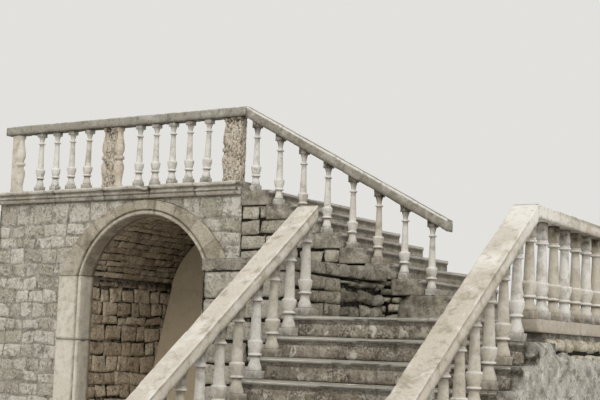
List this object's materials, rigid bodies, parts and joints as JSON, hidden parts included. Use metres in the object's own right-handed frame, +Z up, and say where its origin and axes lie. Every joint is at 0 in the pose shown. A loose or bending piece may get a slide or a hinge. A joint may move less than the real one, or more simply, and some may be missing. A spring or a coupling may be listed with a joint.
{
  "type": "balustraded outside stair",
  "caption": "Stone stair with turned balusters and sloping handrails, a landing, an upper flight and a balustraded terrace over an arched recess.",
  "frame": {"origin": "middle of the footprint on the ground under the stair", "axes": "+X along the terrace front to the right, +Y into the building, +Z up"},
  "size_m": [7.6, 5.814, 4.144],
  "materials": {
    "dressed_stone": "weathered",
    "rail_stone": "weathered",
    "tread_stone": "weathered",
    "pier_stone": "weathered",
    "plaster": "weathered",
    "wall_stone": "weathered"
  },
  "bodies": {
    "root": {"lower_step_1": "tread_stone", "lower_step_2": "tread_stone", "lower_step_3": "tread_stone", "lower_step_4": "tread_stone", "lower_step_5": "tread_stone", "lower_step_6": "tread_stone", "lower_step_7": "tread_stone", "lower_step_8": "tread_stone", "lower_step_9": "tread_stone", "lower_step_10": "tread_stone", "landing_step": "tread_stone", "landing_slab": "tread_stone", "landing_core": "wall_stone", "landing_wall": "wall_stone", "run_coping": "dressed_stone", "lower_core": "wall_stone", "side_block": "wall_stone", "side_block_cap": "wall_stone", "upper_step_1": "tread_stone", "upper_step_2": "tread_stone", "upper_step_3": "tread_stone", "upper_step_4": "tread_stone", "upper_step_5": "tread_stone", "upper_step_6": "tread_stone", "upper_step_7": "tread_stone", "upper_step_8": "tread_stone", "upper_flight_wall": "wall_stone", "terrace_wall": "wall_stone", "terrace_spandrel": "wall_stone", "arch_jambs": "dressed_stone", "arch_ring": "dressed_stone", "passage_walls": "wall_stone", "passage_vault": "wall_stone", "passage_back": "plaster", "terrace_floor": "tread_stone", "terrace_cornice": "dressed_stone", "pier_left": "pier_stone", "pier_middle": "pier_stone", "pier_corner": "pier_stone", "terrace_balusters_left": "dressed_stone", "terrace_balusters_right": "dressed_stone", "upper_balusters": "dressed_stone", "lower_balusters_left": "dressed_stone", "lower_balusters_right": "dressed_stone", "run_balusters": "dressed_stone", "terrace_rail": "rail_stone", "upper_rail": "rail_stone", "lower_rail_left": "rail_stone", "lower_rail_right": "rail_stone", "run_rail": "rail_stone"}
  },
  "joints": []
}
